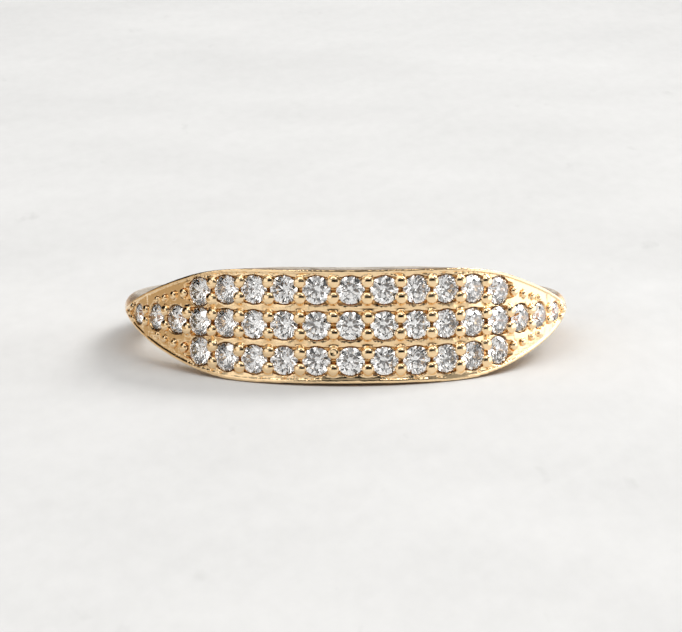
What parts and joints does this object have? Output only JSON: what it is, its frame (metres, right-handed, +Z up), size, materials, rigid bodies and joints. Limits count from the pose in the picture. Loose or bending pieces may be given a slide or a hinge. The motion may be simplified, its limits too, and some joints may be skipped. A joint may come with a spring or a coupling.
{
  "type": "pave band ring",
  "caption": "Slim gold finger ring lying on its side. Its lens-shaped face, set with rows of small round stones held by beads, tapers into a plain half-round shank.",
  "frame": {"origin": "bottom centre of the ring's box, on the surface that the ring rests on", "axes": "+Z up, -Y out of the middle of the jewelled face, +X to the right of a viewer who looks at that face"},
  "size_m": [0.0202, 0.0204, 0.0051],
  "materials": {
    "gold": "polished yellow gold",
    "stone": "clear, cut and polished"
  },
  "bodies": {
    "root": {"band": "gold", "stone_top_1": "stone", "stone_top_2": "stone", "stone_top_3": "stone", "stone_top_4": "stone", "stone_top_5": "stone", "stone_top_6": "stone", "stone_top_7": "stone", "stone_top_8": "stone", "stone_top_9": "stone", "stone_top_10": "stone", "stone_top_11": "stone", "stone_middle_1": "stone", "stone_middle_2": "stone", "stone_middle_3": "stone", "stone_middle_4": "stone", "stone_middle_5": "stone", "stone_middle_6": "stone", "stone_middle_7": "stone", "stone_middle_8": "stone", "stone_middle_9": "stone", "stone_middle_10": "stone", "stone_middle_11": "stone", "stone_middle_12": "stone", "stone_middle_13": "stone", "stone_middle_14": "stone", "stone_middle_15": "stone", "stone_middle_16": "stone", "stone_middle_17": "stone", "stone_bottom_1": "stone", "stone_bottom_2": "stone", "stone_bottom_3": "stone", "stone_bottom_4": "stone", "stone_bottom_5": "stone", "stone_bottom_6": "stone", "stone_bottom_7": "stone", "stone_bottom_8": "stone", "stone_bottom_9": "stone", "stone_bottom_10": "stone", "stone_bottom_11": "stone"}
  },
  "joints": []
}
